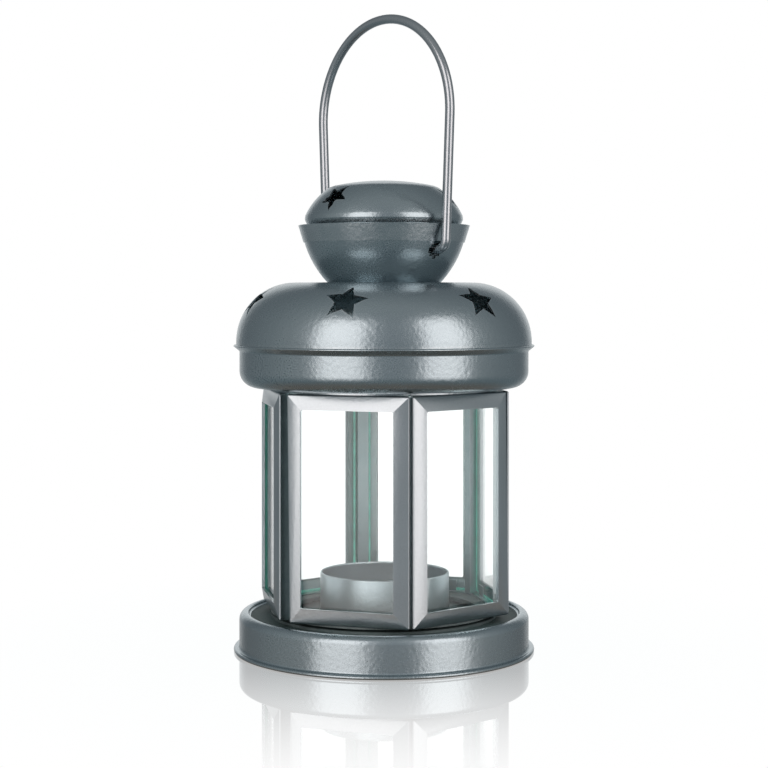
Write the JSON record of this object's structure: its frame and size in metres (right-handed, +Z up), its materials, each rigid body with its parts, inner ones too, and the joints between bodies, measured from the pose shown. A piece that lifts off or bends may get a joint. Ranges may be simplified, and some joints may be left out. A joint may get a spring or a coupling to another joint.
{
  "type": "candle lantern",
  "caption": "Round-footed metal candle lantern with a hexagonal glazed cage, a domed hood with star cut-outs, a capped chimney and a swinging wire bail; holds a tealight.",
  "frame": {"origin": "centre of the foot's underside, where the lantern stands", "axes": "+Z up; +X along the handle's swing axis, through the middle of one window; flats of the cage face +X and -X"},
  "size_m": [0.0996, 0.0996, 0.2099],
  "materials": {
    "hammered_paint": "silver-grey metallic paint, semi-gloss, fine hammered grain",
    "frame_paint": "silver-grey metallic paint, satin, fine hammered grain",
    "window_glass": "clear float glass with green edges",
    "wire_paint": "silver-grey paint on drawn wire, semi-gloss"
  },
  "bodies": {
    "base": {"base_pan": "hammered_paint", "candle_cup": "hammered_paint", "cup_rivet": "hammered_paint"},
    "bayonet": {"lock_ring": "hammered_paint"},
    "cage": {"cage_foot_ring": "hammered_paint", "cage_top_ring": "hammered_paint", "window_frame_1": "frame_paint", "window_frame_2": "frame_paint", "window_frame_3": "frame_paint", "window_frame_4": "frame_paint", "window_frame_5": "frame_paint", "window_frame_6": "frame_paint", "glass_pane_1": "window_glass", "glass_pane_2": "window_glass", "glass_pane_3": "window_glass", "glass_pane_4": "window_glass", "glass_pane_5": "window_glass", "glass_pane_6": "window_glass", "hood_pan": "hammered_paint", "hood_dome": "hammered_paint", "neck_eyelet": "hammered_paint", "cap_bowl": "hammered_paint", "cap_dome": "hammered_paint"},
    "handle": {"wire_handle": "wire_paint"}
  },
  "joints": [
    {"name": "base_twist", "type": "hinge", "parent": "base", "child": "bayonet", "pos_m": [0, 0, 0.0114], "axis": [0, 0, 1], "range_deg": [0, 14.3]},
    {"name": "cage_lift", "type": "slide", "parent": "bayonet", "child": "cage", "axis": [0, 0, 1], "range_m": [0, 0.09]},
    {"name": "handle_swing", "type": "hinge", "parent": "cage", "child": "handle", "pos_m": [0, 0, 0.13183], "axis": [1, 0, 0], "range_deg": [-114, 114]}
  ]
}
